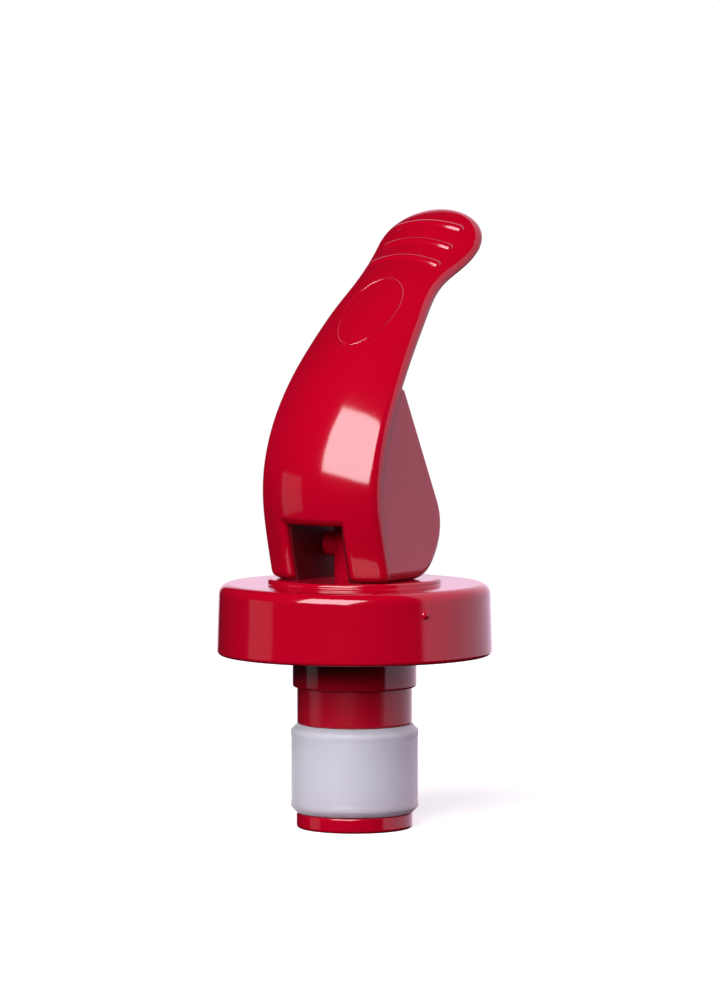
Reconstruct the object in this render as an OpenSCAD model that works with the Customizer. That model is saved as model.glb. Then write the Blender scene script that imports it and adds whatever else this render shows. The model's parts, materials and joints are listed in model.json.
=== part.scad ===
// Lever-operated expanding bottle stopper.
// Origin on the axis, at the face under the cap that sits on the bottle's rim.
// +Z points up towards the lever, the lever folds over towards +X, and the pivot lies along Y.

/* [Cap] */
// Diameter of the cap at its lower edge
cap_d = 38.8; // [37:0.1:40]
// How much the cap's radius shrinks towards its top
cap_draft = 0.32; // [0:0.05:0.6]
// Overall height of the cap, skirt included
cap_h = 10; // [8:0.5:11]
// Thickness of the cap's top plate
plate_t = 2.5; // [2:0.1:3]
// Wall thickness of the skirt
skirt_t = 2; // [1.6:0.1:2.4]
// Radius of the cap's top edge
cap_edge_r = 1.5; // [0.8:0.1:1.8]
// Diameter of the low hub that the lever bears on
hub_d = 24.4; // [23:0.2:26]
// Height of the hub above the cap
hub_h = 0.75; // [0.5:0.05:1]

/* [Plug] */
// Diameter of the collar that guides the stopper in the neck
collar_d = 17.5; // [17:0.1:17.8]
// Length of the collar below the seating face
collar_len = 12.1; // [11:0.1:13]
// Diameter of the guide sleeve's barrel
sleeve_d = 16.2; // [15.6:0.1:16.6]
// Length of the barrel between the collar and the ring
sleeve_len = 5.3; // [4:0.1:6]
// Diameter of the spigot that is pressed into the collar
spigot_d = 12; // [11:0.5:13]
// Length of the spigot
spigot_len = 8; // [6:0.5:9]

/* [Sealing ring] */
// Outer diameter of the relaxed ring at its ends
ring_d = 18; // [17.6:0.1:18.2]
// Length of the relaxed ring
ring_len = 12.4; // [11:0.1:14]
// Chamfer at both ends of the ring
ring_chamfer = 0.8; // [0.4:0.1:1]
// How far the ring's waist is drawn in, on the radius
ring_waist = 0.12; // [0:0.02:0.2]

/* [Plunger] */
// Diameter of the plunger's rod
rod_d = 5.8; // [5.4:0.1:6.2]
// Diameter of the foot under the ring
foot_d = 16.4; // [15.8:0.1:16.8]
// Height of the foot
foot_h = 2.2; // [1.8:0.1:3]
// Radial clearance of the rod in its guides
rod_play = 0.08; // [0.04:0.01:0.1]

/* [Pivot] */
// Diameter of the cross pin
pin_d = 3.6; // [3:0.1:3.8]
// Length of the cross pin
pin_len = 12; // [11:0.2:12.2]
// Radial clearance of the pin in the lever's seats
pin_play = 0.05; // [0.03:0.01:0.1]
// Height of the pin's centre above the lever's flat bottom
pin_rise = 4.6; // [4.4:0.1:4.8]

/* [Lever] */
// Width of the lever at its foot
lever_w = 19.4; // [19:0.1:20]
// Width of the thumb pad
pad_w = 16.6; // [16:0.1:17]
// Length of the pad's round end
pad_end = 6.5; // [6:0.1:7]
// Thickness of the lever's front shell
shell_t = 1.8; // [1.7:0.1:2]
// Radius of the shell's crown across its width
crown_r = 15; // [14:0.5:17]
// How far the cheeks stand in from the shell's edges at the foot
cheek_inset = 0.2; // [0.1:0.05:0.3]
// Lean of the cheeks towards each other, in degrees
cheek_lean = 1.15; // [0.8:0.05:1.4]
// Wall thickness of each cheek
cheek_t = 1.8; // [1.5:0.1:2]
// Thickness of each pivot rib
rib_t = 2; // [1.6:0.1:2.1]
// Width of the window and of the gap between the ribs
slot_w = 8.4; // [8:0.1:8.6]
// Height of the window in the lever's foot
slot_h = 7.6; // [7.2:0.1:8]
// Angle that the lever folds through, in degrees
fold = 117; // [112:1:118]
// Lift of the plunger for each radian of fold
cam_rise = 2.2; // [1.8:0.1:2.3]
// Gap between the lever's bottom and the hub
rest_gap = 0.15; // [0.1:0.05:0.25]

/* [Hidden] */
$fn = 96;
eps = 0.01;
red = [0.72, 0.02, 0.12];
milky = [0.8, 0.77, 0.84];

bore_r = rod_d / 2 + rod_play;
hub_z = plate_t + hub_h;
lever_z = hub_z + rest_gap;
pin_z = lever_z + pin_rise;
sleeve_end = -collar_len - sleeve_len;
ring_gap = 0.05;
ring_bore_r = rod_d / 2 + 0.25;
ring_end = sleeve_end - ring_len;
foot_top = ring_end - ring_gap;
small_r = 0.4;

// Points of an arc in a plane, from angle a to angle b
function arc(cx, cy, r, a, b, n = 8) =
    [for (i = [0 : n]) [cx + r * cos(a + (b - a) * i / n), cy + r * sin(a + (b - a) * i / n)]];

// ---- Front shell of the lever -------------------------------------------------
// Side view of the shell's front edge: x, and height above the lever's flat bottom
EDGE = [[-6.6, 0.1], [-9.15, 11.1], [-7.7, 19.5], [-2.9, 27.6], [4.6, 35.9], [11.1, 41.5],
        [18.3, 45.8], [23.4, 51.6]];
// Half width of the shell at each of those points
HALF = [for (share = [1, 1, 0.995, 0.948, 0.82, 0.715]) share * lever_w / 2];
WIDTH = concat(HALF, [pad_w / 2, pad_w / 2]);
SPANS = len(EDGE) - 1;
TIP = EDGE[SPANS];
TIP_HALF_W = 2.3;

function at(list, i) = list[min(max(i, 0), len(list) - 1)];
function ease(u) = let (c = min(max(u, 0), 1)) c * c * (3 - 2 * c);
function spline(p, q, r, s, u) =
    0.5 * (2 * q + (r - p) * u + (2 * p - 5 * q + 4 * r - s) * u * u
           + (3 * q - p - 3 * r + s) * u * u * u);
function slope(p, q, r, s, u) =
    0.5 * ((r - p) + 2 * (2 * p - 5 * q + 4 * r - s) * u + 3 * (3 * q - p - 3 * r + s) * u * u);
// The edge, and its direction, at a place t counted in spans
function edge(t) = let (i = min(floor(t), SPANS - 1))
    spline(at(EDGE, i - 1), EDGE[i], EDGE[i + 1], at(EDGE, i + 2), t - i);
function heading(t) = let (i = min(floor(t), SPANS - 1))
    slope(at(EDGE, i - 1), EDGE[i], EDGE[i + 1], at(EDGE, i + 2), t - i);
// Tilt of the shell's outward normal above the horizontal: level at the foot
function tilt(t) = let (h = heading(t)) atan2(h[0], h[1]) * ease((edge(t)[1] - 3) / 22);
function outward(t) = [-cos(tilt(t)), sin(tilt(t))];
// Half width of the shell: the taper, and the pad's round end
function half_w(t) = let (i = min(floor(t), SPANS - 1), a = min(norm(TIP - edge(t)) / pad_end, 1))
    min(spline(at(WIDTH, i - 1), WIDTH[i], WIDTH[i + 1], at(WIDTH, i + 2), t - i),
        max(pad_w / 2 * sqrt(a * (2 - a)), TIP_HALF_W) + (a < 1 ? 0 : lever_w));
// Height of the crown at y, for a shell of half width w
function crown(w, y) = (w * w - y * y) / (2 * crown_r);

// One cross-section of the shell, as [y, height above the edge]
function section(t) = let (w = half_w(t), c = 0.7, b = 0.3, d = shell_t)
    concat([for (j = [-5 : 5]) let (y = (w - c) * j / 5) [y, crown(w, y)]],
           [[w - 0.3 * c, crown(w, w - c) - 0.3 * c], [w, -c], [w, b - d]],
           [for (j = [5 : -1 : -5]) let (y = (w - b) * j / 5) [y, crown(w, y) - d]],
           [[-w, b - d], [-w, -c], [0.3 * c - w, crown(w, w - c) - 0.3 * c]]);

STATIONS = concat([for (i = [0 : 5 * (SPANS - 1) - 1]) i / 5],
                  [for (i = [0 : 8]) SPANS - 1 + sin(90 * i / 8)]);
RING = len(section(0));

function place(t, p) = let (e = edge(t) + p[1] * outward(t)) [e[0], p[0], lever_z + e[1]];

// Faces that close a cross-section: strips from its front points to its back points,
// and a fan in each corner
END = concat([for (j = [0 : 9]) [j, j + 1, 23 - j, 24 - j]],
             [[10, 11, 12], [10, 12, 13], [10, 13, 14]], [[0, 24, 25], [0, 25, 26], [0, 26, 27]]);

module shell() {
    points = [for (t = STATIONS) for (p = section(t)) place(t, p)];
    last = (len(STATIONS) - 1) * RING;
    polyhedron(points, concat(
        [for (f = END) [for (j = [len(f) - 1 : -1 : 0]) f[j]]],
        [for (f = END) [for (j = f) last + j]],
        [for (i = [0 : len(STATIONS) - 2]) for (j = [0 : RING - 1])
            let (a = i * RING + j, b = i * RING + (j + 1) % RING)
            for (f = [[a, b + RING, a + RING], [a, b, b + RING]]) f]));
}

// ---- Cam, cheeks and pivot ribs of the lever ----------------------------------
// The cam's distance from the pin grows evenly with the fold angle, so the plunger
// rises by cam_rise for each radian and the cam stays on the hub all the way.
NOTCH_H = 26.6;
function cam_reach(a) = pin_rise + cam_rise * a * PI / 180;
function cam(a) = [cam_reach(a) * sin(a) + cam_rise * cos(a),
                   pin_rise - cam_reach(a) * cos(a) + cam_rise * sin(a)];
CAM = [for (i = [0 : 26]) cam(fold * i / 26)];
LAST = CAM[26];
NOTCH = LAST + (NOTCH_H - LAST[1]) / sin(fold) * [cos(fold), sin(fold)];

// Side view of a cheek, from the cam up to the notch and down inside the shell
module cheek_outline(inside) {
    polygon(concat(CAM, [NOTCH],
                   [for (i = [0 : 15]) let (t = 3 * (15 - i) / 15) edge(t) + inside * outward(t)]));
}

// A plate of thickness t that stands on the lever's bottom, its outer face at y
module plate(y, t, lean = 0) {
    translate([0, y, lever_z]) rotate([90 + lean, 0, 0]) linear_extrude(t) children();
}

// One cheek and one pivot rib, on the side of positive y
module cheek() {
    plate(lever_w / 2 - cheek_inset, cheek_t, cheek_lean) cheek_outline(-0.35);
}

module rib() {
    plate(slot_w / 2 + rib_t, rib_t) intersection() {
        cheek_outline(1.3);
        polygon([[-12, -1], [12, -1], [12, 12], [-4, 21], [-12, 21]]);
    }
}

module lever() {
    color(red) difference() {
        union() {
            shell();
            for (side = [0, 1]) mirror([0, side, 0]) {
                cheek();
                rib();
            }
        }
        translate([-16, -slot_w / 2, lever_z - 1]) cube([11, slot_w, slot_h + 1]);
        translate([0, 0, pin_z]) rotate([90, 0, 0])
            cylinder(r = pin_d / 2 + pin_play, h = slot_w + 2 * rib_t + 0.4, center = true);
    }
}

// ---- Pieces turned about the axis ---------------------------------------------
module cap() {
    top_r = cap_d / 2 - cap_draft;
    bottom = plate_t - cap_h;
    inner_r = cap_d / 2 - skirt_t;
    color(red) rotate_extrude() polygon(concat(
        [[bore_r, hub_z]],
        arc(hub_d / 2 - small_r, hub_z - small_r, small_r, 90, 0, 6),
        [[hub_d / 2, plate_t]],
        arc(top_r - cap_edge_r, plate_t - cap_edge_r, cap_edge_r, 90, 0),
        arc(cap_d / 2 - small_r, bottom + small_r, small_r, 0, -90, 6),
        [[inner_r, bottom], [inner_r - cap_draft, 0], [collar_d / 2, 0],
         [collar_d / 2, small_r - collar_len], [collar_d / 2 - small_r, -collar_len],
         [spigot_d / 2, -collar_len], [spigot_d / 2, spigot_len - collar_len],
         [bore_r, spigot_len - collar_len]]));
}

module guide_sleeve() {
    spigot_top = spigot_len - collar_len - 0.2;
    color(red) rotate_extrude() polygon([
        [bore_r, sleeve_end], [sleeve_d / 2 - small_r, sleeve_end],
        [sleeve_d / 2, sleeve_end + small_r], [sleeve_d / 2, -collar_len],
        [spigot_d / 2, -collar_len], [spigot_d / 2, spigot_top - small_r],
        [spigot_d / 2 - small_r, spigot_top], [bore_r, spigot_top]]);
}

module sealing_ring() {
    r = ring_d / 2;
    color(milky) rotate_extrude() polygon([
        [ring_bore_r, ring_end], [r - ring_chamfer, ring_end], [r, ring_end + ring_chamfer],
        [r - ring_waist, ring_end + ring_len * 0.35], [r - ring_waist, ring_end + ring_len * 0.65],
        [r, sleeve_end - ring_chamfer], [r - ring_chamfer, sleeve_end],
        [ring_bore_r, sleeve_end]]);
}

module plunger() {
    rod_r = rod_d / 2;
    foot_end = foot_top - foot_h;
    color(red) difference() {
        union() {
            rotate_extrude() polygon([
                [0, foot_end], [foot_d / 2 - small_r, foot_end], [foot_d / 2, foot_end + small_r],
                [foot_d / 2, foot_top - small_r], [foot_d / 2 - small_r, foot_top],
                [rod_r, foot_top], [rod_r, pin_z], [0, pin_z]]);
            intersection() {
                translate([0, 0, pin_z - eps]) cylinder(r = rod_r, h = rod_d);
                translate([0, 0, pin_z]) rotate([90, 0, 0])
                    cylinder(r = rod_r, h = rod_d + 2, center = true);
            }
        }
        translate([0, 0, pin_z]) rotate([90, 0, 0])
            cylinder(d = pin_d, h = rod_d + 2, center = true);
    }
}

module cross_pin() {
    chamfer = 0.3;
    color(red) translate([0, 0, pin_z]) rotate([90, 0, 0]) rotate_extrude() polygon([
        [0, -pin_len / 2], [pin_d / 2 - chamfer, -pin_len / 2], [pin_d / 2, chamfer - pin_len / 2],
        [pin_d / 2, pin_len / 2 - chamfer], [pin_d / 2 - chamfer, pin_len / 2], [0, pin_len / 2]]);
}

cap();
guide_sleeve();
sealing_ring();
plunger();
cross_pin();
lever();
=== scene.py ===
"""Looks of a lever bottle stopper: a red cap and plug, a milky sealing ring and a thumb lever."""
import json
import math

import bmesh
import bpy
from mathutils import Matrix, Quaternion, Vector


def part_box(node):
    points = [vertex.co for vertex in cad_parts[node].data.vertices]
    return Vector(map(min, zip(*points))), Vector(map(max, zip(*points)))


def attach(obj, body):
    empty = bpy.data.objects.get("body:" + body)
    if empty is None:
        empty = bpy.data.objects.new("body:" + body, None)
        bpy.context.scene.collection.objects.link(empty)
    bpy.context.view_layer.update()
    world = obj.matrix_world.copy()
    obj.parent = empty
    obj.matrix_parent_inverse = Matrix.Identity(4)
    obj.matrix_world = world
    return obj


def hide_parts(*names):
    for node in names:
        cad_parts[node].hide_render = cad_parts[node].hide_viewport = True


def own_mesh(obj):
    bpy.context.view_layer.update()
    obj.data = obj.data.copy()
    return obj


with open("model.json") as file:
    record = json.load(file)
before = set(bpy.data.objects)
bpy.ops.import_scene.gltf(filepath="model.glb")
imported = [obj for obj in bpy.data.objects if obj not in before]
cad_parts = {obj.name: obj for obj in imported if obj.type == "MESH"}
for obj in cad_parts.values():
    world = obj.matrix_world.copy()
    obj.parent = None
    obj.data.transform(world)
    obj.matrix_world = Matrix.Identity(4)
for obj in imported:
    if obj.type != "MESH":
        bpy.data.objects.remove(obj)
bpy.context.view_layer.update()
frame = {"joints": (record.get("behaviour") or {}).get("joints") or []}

# ---- Sizes, in millimetres -----------------------------------------------------
MM = 0.001


def box_mm(node):
    """Lowest and highest corner of a CAD node."""
    return [[c / MM for c in corner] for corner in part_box(node)]


CAP_LOW, CAP_HIGH = box_mm("cap")
SLEEVE_LOW, SLEEVE_HIGH = box_mm("guide_sleeve")
RING_LOW, RING_HIGH = box_mm("sealing_ring")
PLUNGER_LOW, PLUNGER_HIGH = box_mm("plunger")
PIN_LOW, PIN_HIGH = box_mm("cross_pin")
LEVER_LOW, LEVER_HIGH = box_mm("lever")

# Cap, with the hub on top of it and the collar under it
CAP_R = CAP_HIGH[0]
CAP_TOP = 2.5
CAP_BOTTOM = -7.5
CAP_DRAFT = 0.32
SKIRT_T = 2.0
HUB_R = 12.2
HUB_TOP = CAP_HIGH[2]
COLLAR_R = 8.75
COLLAR_END = CAP_LOW[2]
# Bore for the rod, and the barrel with its spigot inside the collar
BORE_R = 2.98
SPIGOT_R = 6.0
SPIGOT_TOP = SLEEVE_HIGH[2]
SPIGOT_GAP = 0.2
BARREL_R = SLEEVE_HIGH[0]
BARREL_END = SLEEVE_LOW[2]
# Sealing ring, with a waist that is a little narrower than its ends
RING_R = RING_HIGH[0]
RING_END, RING_TOP = RING_LOW[2], RING_HIGH[2]
RING_BORE_R = 3.15
RING_CHAMFER = 0.75
RING_WAIST = 0.07
# Foot, rod and pin
FOOT_R = PLUNGER_HIGH[0]
FOOT_END = PLUNGER_LOW[2]
FOOT_TOP = RING_END - 0.05
ROD_R = 2.9
PIN_Z = (PIN_LOW[2] + PIN_HIGH[2]) / 2
PIN_R = (PIN_HIGH[2] - PIN_LOW[2]) / 2
PIN_HALF = PIN_HIGH[1]

# Lever: its foot reaches a little lower than the CAD lever's bottom, LEVER_Z
LEVER_Z = LEVER_LOW[2]
LEVER_HALF = LEVER_HIGH[1]
FOOT_REACH = 0.1
FOOT_CORNER_R = 1.2
# Shell: walls, crowned face, rounded rims and the round end of the pad
SHELL_T = 1.4
TIP_THINNING = 0.25
CROWN_R = 15.0
EDGE_ROUND = 0.8
BACK_ROUND = 0.3
PAD_HALF = 8.3
PAD_END = 6.5
# Window in the lever's foot
WINDOW_HALF = 4.6
WINDOW_TOP = 7.9
WINDOW_ROUND = 1.05
WINDOW_CREASE = 0.3
# Cheeks, which lean inwards a little behind the shell's edge, and the cam under them
CHEEK_T = 1.8
CHEEK_INSET = 0.2
CHEEK_LEAN = math.radians(1.15)
CHEEK_SUNK = 0.35
CHEEK_BEVEL = 1.4
CHEEK_EDGE_R = 0.35
FOLD = math.radians(117)
CAM_RISE = 2.2
NOTCH_HEIGHT = 26.6
# Pivot ribs inside the lever, whose fronts reach into the shell's crown
RIB_T = 2.0
RIB_INNER = 4.2
RIB_RISE = 1.3
RIB_EDGE_R = 0.1

# Steps round a turned piece, along a rounded corner, and along the parts of the lever
TURNS = 160
CORNER_STEPS = 7
BEVEL_STEPS = 6
CAM_STEPS = 52
CHEEK_STEPS = 15
ROUND_STEPS = 8
WINDOW_STEPS = 8
SIDE_STEPS = 12
ARM_STEPS = 130
TIP_STEPS = 34
# Points nearer than this are one point
WELD = 0.0008


# ---- Mesh helpers --------------------------------------------------------------
def make_piece(name, points, faces, material, sharp=35, others=()):
    """A smooth-shaded closed mesh object from points in millimetres.

    others are further materials, each with the set of faces that it is on.
    """
    mesh = bpy.data.meshes.new(name)
    mesh.from_pydata([[c * MM for c in p] for p in points], [], faces)
    mesh.materials.append(material)
    for number, (other, chosen) in enumerate(others, 1):
        mesh.materials.append(other)
        for k in chosen:
            mesh.polygons[k].material_index = number
    work = bmesh.new()
    work.from_mesh(mesh)
    bmesh.ops.remove_doubles(work, verts=work.verts, dist=WELD * MM)
    bmesh.ops.recalc_face_normals(work, faces=work.faces)
    work.to_mesh(mesh)
    work.free()
    mesh.shade_smooth()
    mesh.set_sharp_from_angle(angle=math.radians(sharp))
    piece = bpy.data.objects.new(name, mesh)
    bpy.context.scene.collection.objects.link(piece)
    return piece


def round_corner(before, corner, after, radius):
    """The arc that rounds one corner of an outline, with a support point at each end."""
    support = 0.06
    a, c, b = (Vector(p) for p in (before, corner, after))
    to_a, to_b = (a - c).normalized(), (b - c).normalized()
    half = to_a.angle(to_b) / 2
    reach = radius / math.tan(half)
    centre = c + (to_a + to_b).normalized() * (radius / math.sin(half))
    start, end = c + to_a * reach - centre, c + to_b * reach - centre
    sweep = math.pi - 2 * half
    side = 1 if start.x * end.y - start.y * end.x > 0 else -1
    arc = []
    for i in range(CORNER_STEPS + 1):
        turn = side * sweep * i / CORNER_STEPS
        arc.append(centre + Vector((start.x * math.cos(turn) - start.y * math.sin(turn),
                                    start.x * math.sin(turn) + start.y * math.cos(turn))))
    return [c + to_a * (reach + support)] + arc + [c + to_b * (reach + support)]


def rounded(corners, closed=True):
    """An outline from (x, y, radius) corners; radius 0 leaves the corner sharp."""
    outline = []
    last = len(corners) - 1
    for i, (x, y, radius) in enumerate(corners):
        if radius == 0 or (not closed and i in (0, last)):
            outline.append(Vector((x, y)))
            continue
        outline += round_corner(corners[i - 1][:2], (x, y), corners[(i + 1) % len(corners)][:2],
                                radius)
    return outline


def loop_faces(loops, around, joined=False):
    """Faces between each loop of points and the next; joined links the last to the first."""
    faces = []
    for i in range(loops if joined else loops - 1):
        here, there = i * around, (i + 1) % loops * around
        for k in range(around):
            n = (k + 1) % around
            faces.append((here + k, here + n, there + n, there + k))
    return faces


def circled(profile):
    """The points of a profile of (radius, height), carried round Z."""
    turns = [2 * math.pi * k / TURNS for k in range(TURNS)]
    return [(p.x * math.cos(a), p.x * math.sin(a), p.y) for p in profile for a in turns]


def turned(name, corners, material, closed=True, sharp=35):
    """A piece turned about Z from (radius, height, rounding) corners."""
    profile = rounded(corners, closed)
    faces = loop_faces(len(profile), TURNS, joined=closed)
    return make_piece(name, circled(profile), faces, material, sharp)


# ---- Shader helpers ------------------------------------------------------------
class Wire:
    """A node's output that works in sums and products with numbers and other wires."""

    def __init__(self, tree, socket):
        self.tree, self.socket = tree, socket

    def maths(self, operation, *terms):
        """A Math node on numbers and wires."""
        return self.tree.node("ShaderNodeMath", {"operation": operation}, dict(enumerate(terms)))

    def __add__(self, other):
        return self.maths("ADD", self, other)

    __radd__ = __add__

    def __mul__(self, other):
        return self.maths("MULTIPLY", self, other)

    __rmul__ = __mul__


class Tree:
    """A node tree that is written as expressions."""

    def __init__(self, nodes_of):
        self.tree = nodes_of.node_tree
        self.tree.nodes.clear()

    def node(self, kind, settings=None, sockets=None, out=0):
        """One node: its settings first, then the values or wires of its sockets."""
        made = self.tree.nodes.new(kind)
        for name, value in (settings or {}).items():
            setattr(made, name, value)
        for name, value in (sockets or {}).items():
            if isinstance(value, Wire):
                self.tree.links.new(value.socket, made.inputs[name])
            else:
                made.inputs[name].default_value = value
        return Wire(self, made.outputs[out]) if made.outputs else None

    def noise(self, where, scale, detail=2.0):
        """Smooth noise from 0 to 1, scale in cycles per metre."""
        return self.node("ShaderNodeTexNoise", {}, {"Vector": where, "Scale": scale, "Detail": detail,
                                                    "Roughness": 0.5})

    def between(self, low, high, share):
        """A colour between two, by a share from 0 to 1."""
        return self.node("ShaderNodeMix", {"data_type": "RGBA"},
                         {"Factor": share, 6: (*low, 1), 7: (*high, 1)}, out=2)

    def stretched(self, where, scale):
        """The same place, scaled along each axis."""
        return self.node("ShaderNodeMapping", {"vector_type": "POINT"},
                         {"Vector": where, "Scale": scale})

    def bump(self, height, distance, under=None):
        """Relief of that many millimetres, on top of the relief under it."""
        sockets = {"Height": height, "Distance": distance * MM, "Strength": 1.0}
        if under is not None:
            sockets["Normal"] = under
        return self.node("ShaderNodeBump", {}, sockets)


def material(name):
    """A new material and its empty tree."""
    made = bpy.data.materials.new(name)
    made.use_nodes = True
    return made, Tree(made)


def red_plastic(name, deep, bright, rough, grain, lengthwise=0.0, gleam=0.5):
    """Moulded plastic; grain is its fine relief, and lengthwise adds drawn lines along Z."""
    made, tree = material(name)
    where = tree.node("ShaderNodeTexCoord", out=3)
    cloud = tree.noise(where, 70, 2)
    speckle = tree.noise(where, 2600, 3)
    wave = tree.noise(where, 210, 1)
    skin = tree.bump(wave, 0.035)
    skin = tree.bump(speckle, grain, skin)
    if lengthwise:
        drawn = tree.noise(tree.stretched(where, (1, 1, 0.03)), 2300, 2)
        skin = tree.bump(drawn, lengthwise, skin)
    shader = tree.node("ShaderNodeBsdfPrincipled", {}, {
        "Base Color": tree.between(deep, bright, cloud),
        "Roughness": rough + 0.05 * cloud + 0.04 * speckle,
        "Normal": skin,
        "IOR": 1.5,
        "Specular IOR Level": gleam,
    })
    tree.node("ShaderNodeOutputMaterial", {}, {"Surface": shader})
    return made


def milky_silicone(name):
    """Satin translucent silicone, painted a little pinker towards the red foot below it: painted
    light from the foot.
    """
    made, tree = material(name)
    where = tree.node("ShaderNodeTexCoord", out=3)
    height = tree.node("ShaderNodeSeparateXYZ", {}, {"Vector": where}, out=2)
    # Painted light: the share of the red foot's glow, strongest at the ring's bottom end
    low = tree.node("ShaderNodeMapRange", {"interpolation_type": "SMOOTHSTEP"},
                    {"Value": height, "From Min": (RING_END + 4) * MM,
                     "From Max": RING_END * MM})
    cloud = tree.noise(where, 160, 3)
    speckle = tree.noise(where, 1500, 3)
    skin = tree.bump(cloud, 0.05)
    skin = tree.bump(speckle, 0.006, skin)
    shader = tree.node("ShaderNodeBsdfPrincipled", {}, {
        "Base Color": tree.between((0.385, 0.39, 0.43), (0.42, 0.36, 0.42),
                                   low * 0.8 + cloud * 0.2),
        "Roughness": 0.34 + 0.14 * cloud,
        "Normal": skin,
        "IOR": 1.41,
        "Subsurface Weight": 1.0,
        "Subsurface Radius": (1.0, 0.85, 0.9),
        "Subsurface Scale": 10 * MM,
        "Sheen Weight": 0.5,
        "Sheen Roughness": 0.45,
    })
    tree.node("ShaderNodeOutputMaterial", {}, {"Surface": shader})
    return made


GLOSSY_RED = red_plastic("glossy_red", deep=(0.265, 0.0001, 0.008), bright=(0.305, 0.0002, 0.011),
                         rough=0.06, grain=0.0012)
SATIN_RED = red_plastic("satin_red", deep=(0.26, 0.0008, 0.009), bright=(0.30, 0.0012, 0.012),
                        rough=0.18, grain=0.002, lengthwise=0.006)
# Inner faces of the lever: a rougher finish, and a darker colour that is painted shade for the
# lever's hollow inside
MATTE_AND_SHADE_RED = red_plastic("matte_inside_painted_shade_red", deep=(0.17, 0.0002, 0.005), bright=(0.20, 0.0003, 0.007),
                        rough=0.5, grain=0.004, gleam=0.25)
# Painted shade: the pivot ribs are the same red plastic, painted near-black for the shade inside the
# lever
PAINTED_SHADE_RED = red_plastic("painted_shade_rib_red", deep=(0.06, 0.0001, 0.002), bright=(0.075, 0.0001, 0.003),
                       rough=0.55, grain=0.004, gleam=0.12)
MILKY = milky_silicone("milky_silicone")


# ---- Pieces turned about the axis ----------------------------------------------
cap_top_r = CAP_R - CAP_DRAFT
inner_r = CAP_R - SKIRT_T
cap = turned("cap_moulding", [
    (BORE_R, HUB_TOP, 0.2), (HUB_R, HUB_TOP, 0.4), (HUB_R, CAP_TOP, 0.22),
    (cap_top_r, CAP_TOP, 1.5), (CAP_R, CAP_BOTTOM, 0.55), (inner_r, CAP_BOTTOM, 0.4),
    (inner_r - CAP_DRAFT, 0, 0.5), (COLLAR_R, 0, 0.3), (COLLAR_R, COLLAR_END, 0.3),
    (SPIGOT_R, COLLAR_END, 0), (SPIGOT_R, SPIGOT_TOP + SPIGOT_GAP, 0),
    (BORE_R, SPIGOT_TOP + SPIGOT_GAP, 0),
], GLOSSY_RED)
sleeve = turned("sleeve_barrel", [
    (BORE_R, BARREL_END, 0.2), (BARREL_R, BARREL_END, 0.4), (BARREL_R, COLLAR_END, 0.05),
    (SPIGOT_R, COLLAR_END, 0), (SPIGOT_R, SPIGOT_TOP, 0.4), (BORE_R, SPIGOT_TOP, 0),
], SATIN_RED)
# One end of the ring from its bore to its waist: radius, distance from the end, rounding
ring_half = [(RING_BORE_R, 0, 0.2), (RING_R - RING_CHAMFER, 0, 0.25), (RING_R, 0.8, 0.22),
             (RING_R, 1.25, 0.15), (RING_R - RING_WAIST, 1.8, 0.5)]
ring = turned("ring_of_silicone",
              [(r, RING_END + up, rounding) for r, up, rounding in ring_half]
              + [(r, RING_TOP - down, rounding) for r, down, rounding in reversed(ring_half)],
              MILKY, sharp=60)
pin = turned("pivot_pin", [
    (0, -PIN_HALF, 0), (PIN_R, -PIN_HALF, 0.3), (PIN_R, PIN_HALF, 0.3), (0, PIN_HALF, 0),
], GLOSSY_RED, closed=False)
# The pin is turned about Z like the others, then laid along Y at its height
for vertex in pin.data.vertices:
    x, y, z = vertex.co
    vertex.co = (x, -z, y + PIN_Z * MM)


def plunger_piece():
    """Foot and rod; the rod's top is rounded across the pin, and closed with ever smaller loops."""
    profile = rounded([(0, FOOT_END, 0), (FOOT_R, FOOT_END, 0.45), (FOOT_R, FOOT_TOP, 0.35),
                       (ROD_R, FOOT_TOP, 0.3), (ROD_R, PIN_Z, 0)], closed=False)
    points = circled(profile)
    shares = (1, 0.97, 0.9, 0.75, 0.6, 0.45, 0.3, 0.15, 0)
    for r in (ROD_R * share for share in shares):
        for k in range(TURNS):
            a = 2 * math.pi * k / TURNS
            x = r * math.cos(a)
            points.append((x, r * math.sin(a), PIN_Z + math.sqrt(ROD_R ** 2 - x ** 2)))
    faces = loop_faces(len(profile) + len(shares), TURNS)
    return make_piece("plunger_rod_and_foot", points, faces, GLOSSY_RED)


plunger = plunger_piece()


# ---- Lever: the front shell ----------------------------------------------------
# Side view of the shell's front edge, from its foot to its tip: x, and height above LEVER_Z
EDGE = [(-6.6, -FOOT_REACH), (-9.15, 11.1), (-7.7, 19.5), (-2.9, 27.6), (4.6, 35.9), (11.1, 41.5),
        (18.3, 45.8), (23.4, 51.6)]
# Half width of the shell at each of those points
HALF = [(share * LEVER_HALF,) for share in (1, 1, 0.995, 0.948, 0.82, 0.715)]
HALF += [(PAD_HALF,), (PAD_HALF,)]
SPANS = len(EDGE) - 1
# Half the stretch over which a curve's bend is evened out, in spans
FAIRING = 0.3
# Where the cheeks end, the arm ends and the shell begins to thin, in spans
CHEEK_TOP_T = 3
TIP_T = SPANS - 1
THINNING_T, THINNING_SPANS = 5, 1.6
# The shell turns from level to square with the arm over this stretch of its height
LEAN_START, LEAN_LENGTH = 3, 22


def spline(points, t):
    """A smooth curve through the points, at t counted in spans."""
    i = min(int(t), len(points) - 2)
    four = [points[min(max(i + k, 0), len(points) - 1)] for k in (-1, 0, 1, 2)]
    u = t - i
    return [0.5 * (2 * q + (r - p) * u + (2 * p - 5 * q + 4 * r - s) * u ** 2
                   + (3 * q - p - 3 * r + s) * u ** 3) for p, q, r, s in zip(*four)]


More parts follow.
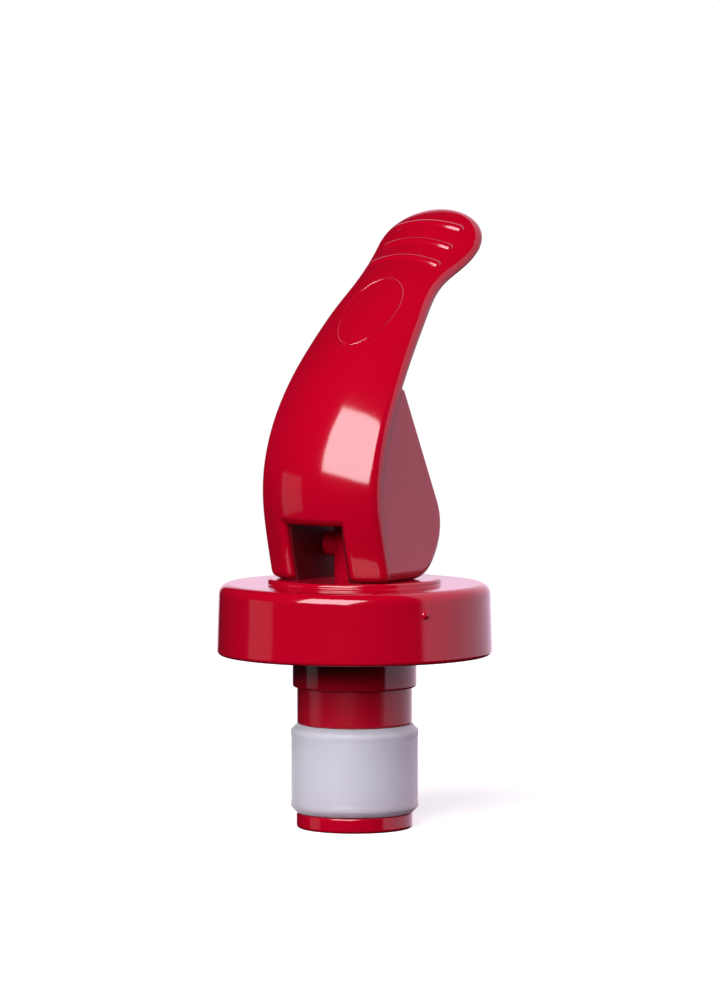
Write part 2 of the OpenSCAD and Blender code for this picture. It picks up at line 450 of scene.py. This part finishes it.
def faired(points, t):
    """The same curve with the changes of its bend evened out over a short stretch."""
    reach = min(FAIRING, t, SPANS - t)
    weights = [(k / 4, math.cos(math.pi * k / 10) ** 2) for k in range(-4, 5)]
    total = sum(w for _, w in weights)
    near = [(spline(points, t + reach * k), w) for k, w in weights]
    return [sum(p[axis] * w for p, w in near) / total for axis in range(len(points[0]))]


def ease(u):
    """A soft step from 0 to 1."""
    u = min(max(u, 0), 1)
    return u * u * (3 - 2 * u)


def edge(t):
    """Side view of the front edge at t, counted in spans from the foot."""
    return Vector(faired(EDGE, min(max(t, 0), SPANS)))


def outward(t):
    """Direction from the edge to the crown: level at the foot, square to the arm above."""
    step = 0.02
    run = edge(min(t + step, SPANS)) - edge(max(t - step, 0))
    lean = math.atan2(run.x, run.y) * ease((edge(t).y - LEAN_START) / LEAN_LENGTH)
    return Vector((-math.cos(lean), math.sin(lean)))


def pad_share(t):
    """Distance to the tip, as a share of the pad's round end."""
    return min((Vector(EDGE[-1]) - edge(t)).length / PAD_END, 1)


def half_width(t):
    """Half the shell's width, round at the tip."""
    a = pad_share(t)
    straight = faired(HALF, t)[0]
    return straight if a >= 1 else min(straight, PAD_HALF * math.sqrt(a * (2 - a)))


def crown(w, y):
    """How far the shell's face stands out from its edge, at y from the middle."""
    return (w * w - y * y) / (2 * CROWN_R)


def thickness(t):
    """The shell thins towards the tip of the pad."""
    return SHELL_T - TIP_THINNING * ease((t - THINNING_T) / THINNING_SPANS)


def rim_distance(t, w, y):
    """Distance from a point of the shell to its outline."""
    a = pad_share(t)
    if a >= 1:
        return w - abs(y)
    along, across = (1 - a) / PAD_END, y / PAD_HALF ** 2
    q = math.hypot(1 - a, y / PAD_HALF)
    slope = math.hypot(along, across)
    return max(1 - q, 0) * q / slope if slope > 1e-9 else PAD_END


def rounding(radius, *distances):
    """How far the surface drops where it is near one or more edges."""
    near = math.hypot(*(max(radius - d, 0) / radius for d in distances))
    return radius * (1 - math.sqrt(1 - min(near, 1) ** 2))


def t_at_height(height):
    """The place along the shell where its edge has that height."""
    low, high = 0, SPANS
    for _ in range(40):
        middle = (low + high) / 2
        low, high = (middle, high) if edge(middle).y < height else (low, middle)
    return low


def to_lever(t, y, rise):
    """A point of the lever, at rise outwards from its front edge."""
    p = edge(t) + rise * outward(t)
    return (p.x, y, LEVER_Z + p.y)


def ramp(radius):
    """Distances from an edge that follow a round of that radius evenly."""
    return [radius * (1 - math.cos(math.pi / 2 * i / ROUND_STEPS)) for i in range(ROUND_STEPS + 1)]


def shell_rows():
    """Places along the shell, close together at its bottom, above the window and at the tip."""
    foot = EDGE[0][1]
    heights = [foot + d for d in ramp(EDGE_ROUND)]
    # The two legs beside the window
    heights += [1.05, 1.35, 1.8] + [2.4 + 0.65 * i for i in range(8)]
    heights += [WINDOW_TOP + d for d in ramp(WINDOW_ROUND)] + [WINDOW_TOP + WINDOW_ROUND + 0.1]
    rows = [t_at_height(h) for h in heights]
    start = rows[-1]
    rows += [start + (TIP_T - start) * i / ARM_STEPS for i in range(1, ARM_STEPS)]
    return rows + [TIP_T + math.sin(math.pi / 2 * i / TIP_STEPS) for i in range(TIP_STEPS + 1)]


def shell_columns(t):
    """Half width and places across the shell, close together beside the window and the rim."""
    w = half_width(t)
    full_rim_w = 4
    scale = w / LEVER_HALF
    if t < 1:
        corner = max(FOOT_CORNER_R - (edge(t).y - EDGE[0][1]), 0)
        w -= FOOT_CORNER_R - math.sqrt(FOOT_CORNER_R ** 2 - min(corner, FOOT_CORNER_R) ** 2)
    inner = [WINDOW_HALF * i / WINDOW_STEPS for i in range(WINDOW_STEPS)]
    inner += [WINDOW_HALF + d for d in ramp(WINDOW_ROUND)]
    inner = [y * scale for y in inner]
    rim = [w - d * min(1, w / full_rim_w) for d in reversed(ramp(EDGE_ROUND))]
    gap = [inner[-1] + (rim[0] - inner[-1]) * i / SIDE_STEPS for i in range(1, SIDE_STEPS)]
    half = inner + gap + rim
    return w, [-y for y in reversed(half[1:])] + half


def shell_mesh():
    """Front and back of the shell on one grid, walled along its rim and its window.

    Returns its points, its faces and the numbers of the faces on its inner side.
    """
    rows = shell_rows()
    points = []
    for t in rows:
        w, columns = shell_columns(t)
        height = edge(t).y
        for y in columns:
            rim = rim_distance(t, w, y)
            foot = height - EDGE[0][1]
            window = math.hypot(max(abs(y) - WINDOW_HALF, 0), max(height - WINDOW_TOP, 0))
            drop = rounding(EDGE_ROUND, rim, foot, window * EDGE_ROUND / WINDOW_ROUND)
            drop += WINDOW_CREASE * max(1 - window / WINDOW_ROUND, 0)
            points.append(to_lever(t, y, crown(w, y) - drop))
    count = len(columns)
    front = len(points)
    for t in rows:
        w, columns = shell_columns(t)
        for y in columns:
            drop = thickness(t) - rounding(BACK_ROUND, rim_distance(t, w, y))
            points.append(to_lever(t, y, crown(w, y) - drop))

    middle = (count - 1) // 2
    opening = range(middle - WINDOW_STEPS, middle + WINDOW_STEPS)
    window_rows = sum(1 for t in rows if edge(t).y < WINDOW_TOP - WELD)

    def kept(i, j):
        """Whether that cell of the grid is shell, not window or outside."""
        inside = 0 <= i < len(rows) - 1 and 0 <= j < count - 1
        return inside and not (j in opening and i < window_rows)

    faces, inner = [], []
    for i in range(len(rows) - 1):
        for j in range(count - 1):
            if not kept(i, j):
                continue
            a, b, c, d = (i * count + j, i * count + j + 1, (i + 1) * count + j + 1,
                          (i + 1) * count + j)
            faces.append((a, b, c, d))
            inner.append(len(faces))
            faces.append(tuple(front + k for k in (d, c, b, a)))
            for other, (p, q) in (((i - 1, j), (a, b)), ((i, j + 1), (b, c)),
                                  ((i + 1, j), (c, d)), ((i, j - 1), (d, a))):
                if not kept(*other):
                    if other[1] in opening and other[0] in range(window_rows):
                        inner.append(len(faces))
                    faces.append((q, p, front + p, front + q))
    return points, faces, inner


# ---- Lever: cam, cheeks and pivot ribs -----------------------------------------
def cam_outline():
    """The cam's edge, whose distance from the pin grows evenly with the fold."""
    pin_height = PIN_Z - LEVER_Z
    outline = []
    for i in range(CAM_STEPS + 1):
        a = FOLD * i / CAM_STEPS
        reach = pin_height + FOOT_REACH + CAM_RISE * a
        outline.append(Vector((reach * math.sin(a) + CAM_RISE * math.cos(a),
                               pin_height - reach * math.cos(a) + CAM_RISE * math.sin(a))))
    return outline


def cheek_outline(rise):
    """Side view of a cheek: the cam, the straight back edge, then down the shell.

    rise is how far outwards from the shell's front edge that last stretch runs.
    """
    cam = cam_outline()
    notch = cam[-1] + (NOTCH_HEIGHT - cam[-1].y) / math.sin(FOLD) * Vector((math.cos(FOLD),
                                                                           math.sin(FOLD)))
    back = [cam[-1].lerp(notch, share) for share in (0.03, 0.35, 0.7, 1)]
    front = [CHEEK_TOP_T * (CHEEK_STEPS - i) / CHEEK_STEPS for i in range(CHEEK_STEPS + 1)]
    return cam + back + [edge(t) + rise * outward(t) for t in front]


def clipped(outline, border):
    """The part of an outline that lies inside a convex border, both anticlockwise."""
    for p, q in zip(border, border[1:] + border[:1]):
        side = Vector((p[1] - q[1], q[0] - p[0]))
        result = []
        for a, b in zip(outline, outline[1:] + outline[:1]):
            da, db = side.dot(a - Vector(p)), side.dot(b - Vector(p))
            if da >= 0:
                result.append(a)
            if (da >= 0) != (db >= 0):
                result.append(a.lerp(b, da / (da - db)))
        outline = result
    return outline


def inset(outline, distances):
    """An outline moved inwards by a distance for each point."""
    moved = []
    for i, (p, d) in enumerate(zip(outline, distances)):
        before = (p - outline[i - 1]).normalized()
        after = (outline[(i + 1) % len(outline)] - p).normalized()
        run = (before + after).normalized()
        moved.append(p + d / max(run.dot(after), 0.5) * Vector((-run.y, run.x)))
    return moved


def plate(outline, y_outer, thickness, radii, lean=0.0, side=1):
    """An upright plate with its outer border rounded; side -1 makes its mirror image.

    Returns its points, its faces and the number of its inner face.
    """
    def place(p, depth):
        y = y_outer - p.y * math.sin(lean) - depth * math.cos(lean)
        return (p.x, side * y, LEVER_Z + p.y * math.cos(lean) - depth * math.sin(lean))

    flat_margin = 0.08
    points = [place(p, thickness) for p in outline]
    for k in range(BEVEL_STEPS + 1):
        a = math.pi / 2 * k / BEVEL_STEPS
        loop = inset(outline, [r * (1 - math.cos(a)) for r in radii])
        points += [place(p, r * (1 - math.sin(a))) for p, r in zip(loop, radii)]
    points += [place(p, 0) for p in inset(outline, [r + flat_margin for r in radii])]
    around = len(outline)
    loops = len(points) // around
    faces = loop_faces(loops, around)
    faces += [tuple(range((loops - 1) * around, loops * around)), tuple(range(around - 1, -1, -1))]
    return points, faces, [len(faces) - 1]


def cheek_radii(outline):
    """Rounding along a cheek: wide under its front, narrow from the end of the cam on."""
    narrowing = CHEEK_BEVEL - CHEEK_EDGE_R
    first_step, steps = 22, 28
    cam = [CHEEK_BEVEL - narrowing * ease((i - first_step) / steps) for i in range(CAM_STEPS + 1)]
    return cam + [CHEEK_EDGE_R] * (len(outline) - len(cam) - 1) + [CHEEK_BEVEL]


def lever_piece():
    """Shell, cheeks and pivot ribs as the one moulding that they are."""
    points, faces, matte_and_shade, painted_shade = [], [], set(), set()

    def add(more_points, more_faces, inner, chosen):
        """Adds a part; its inner faces get the material of the chosen set."""
        start = len(points)
        chosen.update(len(faces) + k for k in inner)
        # The foot is flat, so that the lever stays clear of the hub
        points.extend((x, y, max(z, LEVER_Z - FOOT_REACH)) for x, y, z in more_points)
        faces.extend(tuple(start + k for k in face) for face in more_faces)

    # The inner faces of the shell and cheeks get the matte red with painted shade
    add(*shell_mesh(), matte_and_shade)
    cheek = cheek_outline(-CHEEK_SUNK)
    # The ribs are cut to this block: x, and height above LEVER_Z
    block = [(-12, -1), (12, -1), (12, 12), (-4, 21), (-12, 21)]
    rib = clipped(cheek_outline(RIB_RISE), block)
    for side in (1, -1):
        add(*plate(cheek, LEVER_HALF - CHEEK_INSET, CHEEK_T, cheek_radii(cheek), CHEEK_LEAN, side),
            matte_and_shade)
        rib_points, rib_faces, _ = plate(rib, RIB_INNER + RIB_T, RIB_T, [RIB_EDGE_R] * len(rib),
                                         side=side)
        # Every face of the ribs gets the red with painted shade
        add(rib_points, rib_faces, range(len(rib_faces)), painted_shade)
    return make_piece("lever_moulding", points, faces, GLOSSY_RED, 40,
                      ((MATTE_AND_SHADE_RED, matte_and_shade), (PAINTED_SHADE_RED, painted_shade)))


lever = lever_piece()


# ---- Raised lines on the lever -------------------------------------------------
BEAD_SIDES = 36
GRIP_STEPS = 60
OVAL_STEPS = 72


def raised_line_tree():
    """Rounded beads along drawn lines, with balls at their ends."""
    group = bpy.data.node_groups.new("raised_line", "GeometryNodeTree")
    group.interface.new_socket("Lines", in_out="INPUT", socket_type="NodeSocketGeometry")
    for name, kind in (("Bead radius", "NodeSocketFloat"), ("Round ends", "NodeSocketBool"),
                       ("Plastic", "NodeSocketMaterial")):
        group.interface.new_socket(name, in_out="INPUT", socket_type=kind)
    group.interface.new_socket("Beads", in_out="OUTPUT", socket_type="NodeSocketGeometry")

    def node(kind, sockets=None, **settings):
        made = group.nodes.new(kind)
        for name, value in settings.items():
            setattr(made, name, value)
        for name, value in (sockets or {}).items():
            if isinstance(value, bpy.types.NodeSocket):
                group.links.new(value, made.inputs[name])
            else:
                made.inputs[name].default_value = value
        return made.outputs

    given = node("NodeGroupInput")
    path = node("GeometryNodeMeshToCurve", {"Mesh": given["Lines"]})["Curve"]
    section = node("GeometryNodeCurvePrimitiveCircle",
                   {"Resolution": BEAD_SIDES, "Radius": given["Bead radius"]})["Curve"]
    bead = node("GeometryNodeCurveToMesh", {"Curve": path, "Profile Curve": section})["Mesh"]
    ends = node("GeometryNodeCurveEndpointSelection")["Selection"]
    chosen = node("FunctionNodeBooleanMath", {0: ends, 1: given["Round ends"]})["Boolean"]
    ball = node("GeometryNodeMeshUVSphere",
                {"Segments": BEAD_SIDES, "Rings": BEAD_SIDES // 2,
                 "Radius": given["Bead radius"]})["Mesh"]
    balls = node("GeometryNodeInstanceOnPoints",
                 {"Points": path, "Selection": chosen, "Instance": ball})["Instances"]
    joined = node("GeometryNodeJoinGeometry")
    for part in (bead, balls):
        group.links.new(part, group.nodes[-1].inputs["Geometry"])
    solid = node("GeometryNodeRealizeInstances", {"Geometry": joined["Geometry"]})["Geometry"]
    smooth = node("GeometryNodeSetShadeSmooth", {"Geometry": solid})["Geometry"]
    finished = node("GeometryNodeSetMaterial",
                    {"Geometry": smooth, "Material": given["Plastic"]})["Geometry"]
    node("NodeGroupOutput", {"Beads": finished})
    return group


RAISED_LINE = raised_line_tree()


def raised_lines(name, lines, radius, closed):
    """Beads on the lever along lines of (t, y, rise) places."""
    points, links = [], []
    for line in lines:
        start = len(points)
        points += [[c * MM for c in to_lever(t, y, rise)] for t, y, rise in line]
        links += [(start + k, start + k + 1) for k in range(len(line) - 1)]
        if closed:
            links.append((len(points) - 1, start))
    mesh = bpy.data.meshes.new(name)
    mesh.from_pydata(points, links, [])
    piece = bpy.data.objects.new(name, mesh)
    bpy.context.scene.collection.objects.link(piece)
    beads = piece.modifiers.new("beads", "NODES")
    beads.node_group = RAISED_LINE
    wanted = {"Bead radius": radius * MM, "Round ends": not closed, "Plastic": GLOSSY_RED}
    for item in RAISED_LINE.interface.items_tree:
        if item.name in wanted:
            beads[item.identifier] = wanted[item.name]
    bpy.context.view_layer.update()
    made = bpy.data.meshes.new_from_object(piece.evaluated_get(
        bpy.context.evaluated_depsgraph_get()))
    piece.modifiers.clear()
    piece.data = made
    return piece


def grip_line(t, half, bulge, sink):
    """One grip ridge across the pad at t, bowed towards the tip and sunk into the face."""
    line = []
    for i in range(GRIP_STEPS + 1):
        y = half * (2 * i / GRIP_STEPS - 1)
        place = t + bulge * (1 - (y / half) ** 2)
        line.append((place, y, crown(half_width(place), y) - sink))
    return line


def oval_line(t, along, across, sink):
    """An oval on the arm with its middle at t; along and across are its half sizes."""
    step = 0.05
    span = (edge(t + step) - edge(t - step)).length / (2 * step)
    line = []
    for i in range(OVAL_STEPS):
        a = 2 * math.pi * i / OVAL_STEPS
        place, y = t + along / span * math.cos(a), across * math.sin(a)
        line.append((place, y, crown(half_width(place), y) - sink))
    return line


grips = raised_lines("grip_ridges",
                     [grip_line(t, half=4.9, bulge=0.03, sink=0.66) for t in (6.34, 5.86, 5.37)],
                     radius=0.95, closed=False)
oval = raised_lines("oval_outline", [oval_line(4.1, along=6.6, across=4.2, sink=0.13)],
                    radius=0.24, closed=True)


# ---- Small mark left by moulding -----------------------------------------------
def mould_mark(name, centre, normal, radius, height):
    """A low round nub, sunk to its middle in the surface."""
    turn = Vector(normal).to_track_quat("Z", "Y")
    points, around, rows = [], 24, 10
    for i in range(rows + 1):
        a = math.pi * i / rows
        for k in range(around):
            b = 2 * math.pi * k / around
            p = turn @ Vector((radius * math.sin(a) * math.cos(b), radius * math.sin(a) * math.sin(b),
                               height * math.cos(a)))
            points.append(Vector(centre) + p)
    return make_piece(name, points, loop_faces(rows + 1, around), GLOSSY_RED)


GATE_TURN = math.radians(-26.5)
GATE_Z = -0.6
GATE_SUNK = 0.2
gate_way = Vector((math.sin(GATE_TURN), -math.cos(GATE_TURN), 0))
gate = mould_mark("cap_gate_mark", gate_way * (CAP_R - GATE_SUNK) + Vector((0, 0, GATE_Z)), gate_way,
                  radius=0.6, height=0.34)


# ---- What moves with what ------------------------------------------------------
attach(cap, "cap")
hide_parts("cap")
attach(sleeve, "cap")
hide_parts("guide_sleeve")
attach(ring, "cap")
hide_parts("sealing_ring")
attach(gate, "cap")
lift = next(j for j in frame["joints"] if j["name"] == "rod_lift")
ring_length = RING_TOP - RING_END
1 - lift["range_m"][1] / MM / ring_length
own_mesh(ring)
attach(plunger, "plunger")
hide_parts("plunger")
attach(pin, "plunger")
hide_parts("cross_pin")
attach(lever, "lever")
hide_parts("lever")
for beads in (grips, oval):
    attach(beads, "lever")


# ---- Floor, light and camera ---------------------------------------------------
FLOOR_R = 240
FLOOR_DROP = 0.02
CAMERA_TURN = math.radians(-57)
CAMERA_AWAY = 760
CAMERA_Z = 66.5
AIM_RIGHT = 0.77
AIM_Z = 14.2
# Level directions from the axis, towards the camera and to the camera's right
BACK = Vector((math.sin(CAMERA_TURN), -math.cos(CAMERA_TURN), 0))
RIGHT = Vector((math.cos(CAMERA_TURN), math.sin(CAMERA_TURN), 0))


def pale_floor():
    """Pale, with a soft shadow; it neither throws light up at the object nor hides the room."""
    made, tree = material("pale_floor")
    where = tree.node("ShaderNodeTexCoord", out=3)
    shade = tree.between((0.62, 0.62, 0.62), (0.6, 0.6, 0.6), tree.noise(where, 30))
    lit = tree.node("ShaderNodeBsdfDiffuse", {}, {"Color": shade})
    glow = tree.node("ShaderNodeEmission", {}, {"Strength": 0.62})
    pale = tree.node("ShaderNodeAddShader", {}, {0: lit, 1: glow})
    open_air = tree.node("ShaderNodeBsdfTransparent")
    seen = tree.node("ShaderNodeLightPath", out=0)
    shader = tree.node("ShaderNodeMixShader", {}, {0: seen, 1: open_air, 2: pale})
    tree.node("ShaderNodeOutputMaterial", {}, {"Surface": shader})
    return made


def floor_disc(radius):
    """A round floor, just under the foot."""
    mesh = bpy.data.meshes.new("floor")
    work = bmesh.new()
    bmesh.ops.create_circle(work, cap_ends=True, segments=96, radius=radius * MM)
    bmesh.ops.translate(work, verts=work.verts, vec=(0, 0, (FOOT_END - FLOOR_DROP) * MM))
    work.to_mesh(mesh)
    work.free()
    mesh.materials.append(pale_floor())
    floor = bpy.data.objects.new("floor", mesh)
    bpy.context.scene.collection.objects.link(floor)


floor_disc(FLOOR_R)


def room(dim, wall):
    """A white room as the camera sees it, but for the object dim with one bright tinted wall.

    The wall is at the right and behind, and it ends a little below level.
    """
    wall_tint = (1.22, 0.93, 1.18)
    world = bpy.data.worlds.new("room")
    bpy.context.scene.world = world
    world.use_nodes = True
    tree = Tree(world)
    look = tree.node("ShaderNodeTexCoord", out=0)

    def toward(degrees_right, low, high):
        """1 near a level direction that many degrees right of the camera, 0 away from it."""
        a = math.radians(degrees_right)
        aim = BACK * math.cos(a) + RIGHT * math.sin(a)
        near = tree.node("ShaderNodeVectorMath", {"operation": "DOT_PRODUCT"}, {0: look, 1: aim},
                         out=1)
        return tree.node("ShaderNodeMapRange", {"interpolation_type": "SMOOTHSTEP"},
                         {"Value": near, "From Min": low, "From Max": high})

    height = tree.node("ShaderNodeSeparateXYZ", {}, {0: look}, out=2)
    level = tree.node("ShaderNodeMapRange", {"interpolation_type": "SMOOTHSTEP"},
                      {"Value": height, "From Min": -0.26, "From Max": -0.13})
    light = dim + wall * toward(degrees_right=127, low=0.34, high=0.42) * level
    seen = tree.node("ShaderNodeLightPath", out=0)
    strength = light.maths("MAXIMUM", light, seen)
    shader = tree.node("ShaderNodeBackground", {}, {
        "Color": tree.between(wall_tint, (1, 1, 1), seen), "Strength": strength})
    tree.node("ShaderNodeOutputWorld", {}, {"Surface": shader})


def softbox(name, right, up, roll, size, radiance):
    """A rectangular lamp, 1 m away and facing the object; angles are degrees from the camera."""
    a, e = math.radians(right), math.radians(up)
    way = (BACK * math.cos(a) + RIGHT * math.sin(a)) * math.cos(e) + Vector((0, 0, math.sin(e)))
    lamp = bpy.data.lights.new(name, "AREA")
    lamp.shape = "RECTANGLE"
    lamp.size, lamp.size_y = size
    lamp.energy = radiance * math.pi * size[0] * size[1]
    lamp.color = (1, 0.97, 1.02)
    holder = bpy.data.objects.new(name, lamp)
    holder.location = way
    holder.rotation_euler = (way.to_track_quat("Z", "Y")
                             @ Quaternion((0, 0, 1), math.radians(roll))).to_euler()
    bpy.context.scene.collection.objects.link(holder)


room(dim=0.012, wall=1.0)
softbox("key_lamp", right=-22.5, up=32, roll=-14, size=(0.85, 0.78), radiance=12)
softbox("side_lamp", right=-86, up=-3, roll=0, size=(0.47, 0.40), radiance=0.45)

camera = bpy.data.cameras.new("camera")
camera.lens = 195
viewer = bpy.data.objects.new("camera", camera)
viewer.location = (BACK * CAMERA_AWAY + Vector((0, 0, CAMERA_Z))) * MM
aim = (RIGHT * AIM_RIGHT + Vector((0, 0, AIM_Z))) * MM
viewer.rotation_euler = (viewer.location - aim).to_track_quat("Z", "Y").to_euler()
bpy.context.scene.collection.objects.link(viewer)
bpy.context.scene.camera = viewer
bpy.context.scene.view_settings.view_transform = "Standard"
